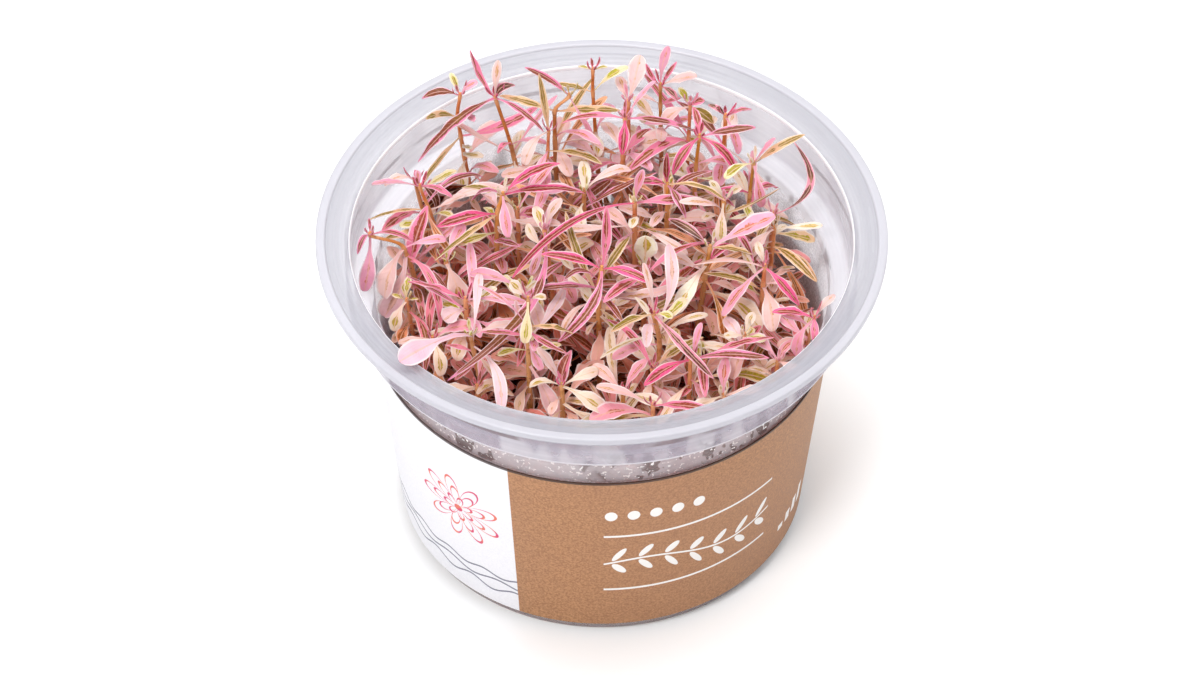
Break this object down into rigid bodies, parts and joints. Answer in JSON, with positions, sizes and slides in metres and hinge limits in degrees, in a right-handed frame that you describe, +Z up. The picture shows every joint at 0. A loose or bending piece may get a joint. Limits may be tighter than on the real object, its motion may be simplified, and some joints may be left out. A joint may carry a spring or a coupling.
{
  "type": "aquarium plant tissue culture cup",
  "caption": "Round translucent cup with a wide flat rim, a printed paper sleeve and a gel disc, filled with slender pink and brown leaved aquarium plant shoots.",
  "frame": {"origin": "centre of the cup's underside, on the surface it stands on", "axes": "+Z up through the mouth of the cup, -Y towards the front of the sleeve, where the white panel meets the brown one on the left"},
  "size_m": [0.095, 0.095, 0.073],
  "materials": {
    "clear_plastic": "milky translucent moulded polypropylene, smooth with faint turning rings",
    "printed_paper": "smooth printed sleeve, brown with one white panel",
    "gel": "soft translucent nutrient gel",
    "leaf_shoot": "living leaves and stems: pink margins, brown or olive middles, cream young leaves, orange brown stems"
  },
  "bodies": {
    "root": {"cup": "clear_plastic", "nutrient_gel": "gel", "paper_sleeve": "printed_paper", "shoot_01": "leaf_shoot", "shoot_02": "leaf_shoot", "shoot_03": "leaf_shoot", "shoot_04": "leaf_shoot", "shoot_05": "leaf_shoot", "shoot_06": "leaf_shoot", "shoot_07": "leaf_shoot", "shoot_08": "leaf_shoot", "shoot_09": "leaf_shoot", "shoot_10": "leaf_shoot", "shoot_11": "leaf_shoot", "shoot_12": "leaf_shoot", "shoot_13": "leaf_shoot", "shoot_14": "leaf_shoot", "shoot_15": "leaf_shoot", "shoot_16": "leaf_shoot", "shoot_17": "leaf_shoot", "shoot_18": "leaf_shoot", "shoot_19": "leaf_shoot", "shoot_20": "leaf_shoot", "shoot_21": "leaf_shoot", "shoot_22": "leaf_shoot", "shoot_23": "leaf_shoot", "shoot_24": "leaf_shoot", "shoot_25": "leaf_shoot", "shoot_26": "leaf_shoot", "shoot_27": "leaf_shoot", "shoot_28": "leaf_shoot", "shoot_29": "leaf_shoot", "shoot_30": "leaf_shoot", "shoot_31": "leaf_shoot", "shoot_32": "leaf_shoot", "shoot_33": "leaf_shoot", "shoot_34": "leaf_shoot", "shoot_35": "leaf_shoot", "shoot_36": "leaf_shoot", "shoot_37": "leaf_shoot", "shoot_38": "leaf_shoot", "shoot_39": "leaf_shoot", "shoot_40": "leaf_shoot", "shoot_41": "leaf_shoot", "shoot_42": "leaf_shoot", "shoot_43": "leaf_shoot", "shoot_44": "leaf_shoot", "shoot_45": "leaf_shoot", "shoot_46": "leaf_shoot", "shoot_47": "leaf_shoot", "shoot_48": "leaf_shoot"}
  },
  "joints": []
}
